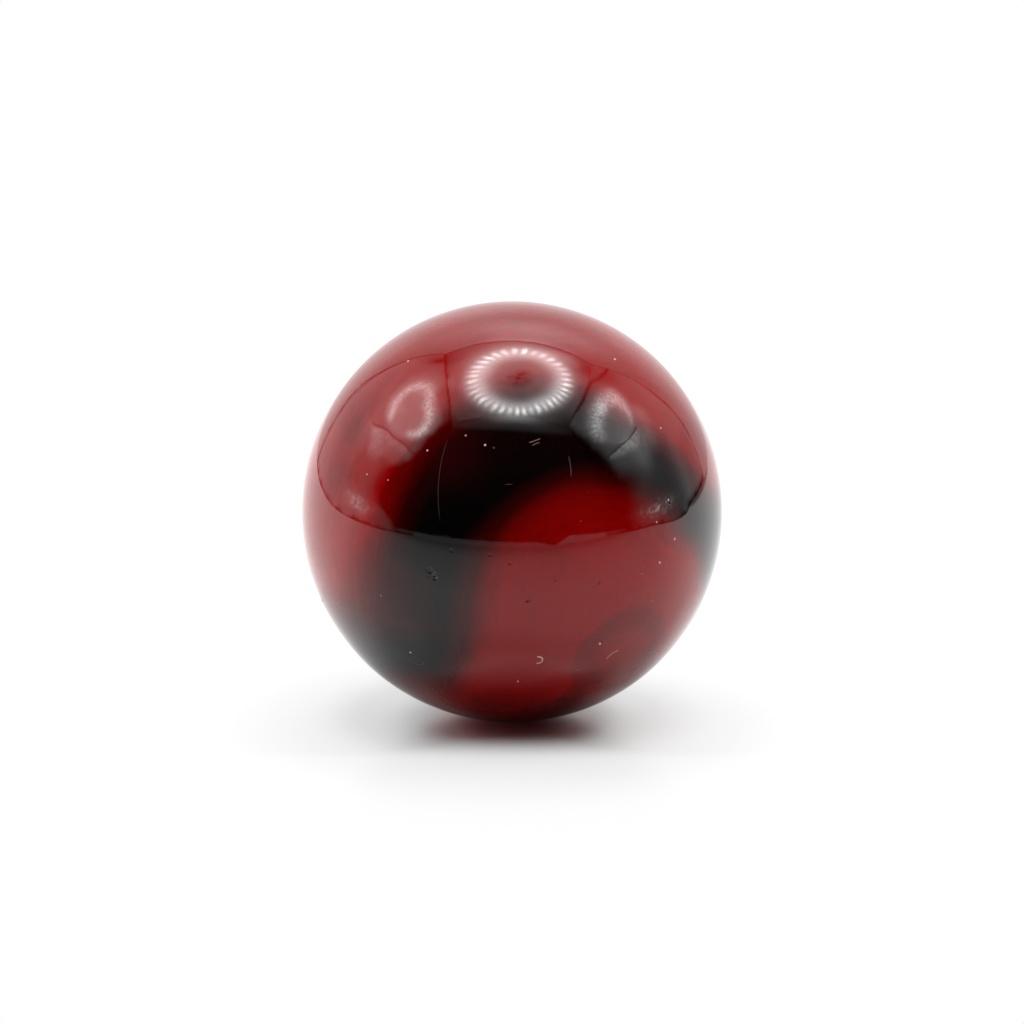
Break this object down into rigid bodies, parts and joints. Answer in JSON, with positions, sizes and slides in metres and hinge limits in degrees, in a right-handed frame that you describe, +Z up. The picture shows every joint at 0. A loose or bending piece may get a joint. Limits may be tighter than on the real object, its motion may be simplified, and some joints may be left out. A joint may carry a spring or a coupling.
{
  "type": "glass marble",
  "caption": "Solid ball of red glass with a black swirl, a plain round playing marble with small surface flaws.",
  "frame": {"origin": "centre of the ball", "axes": "+Z up, with the front of the swirl facing -Y and +X to its right"},
  "size_m": [0.016, 0.016, 0.016],
  "materials": {
    "swirl_glass": "polished opaque red glass with a black and brown swirl, small pits and fine scratches"
  },
  "bodies": {
    "root": {"marble": "swirl_glass"}
  },
  "joints": []
}
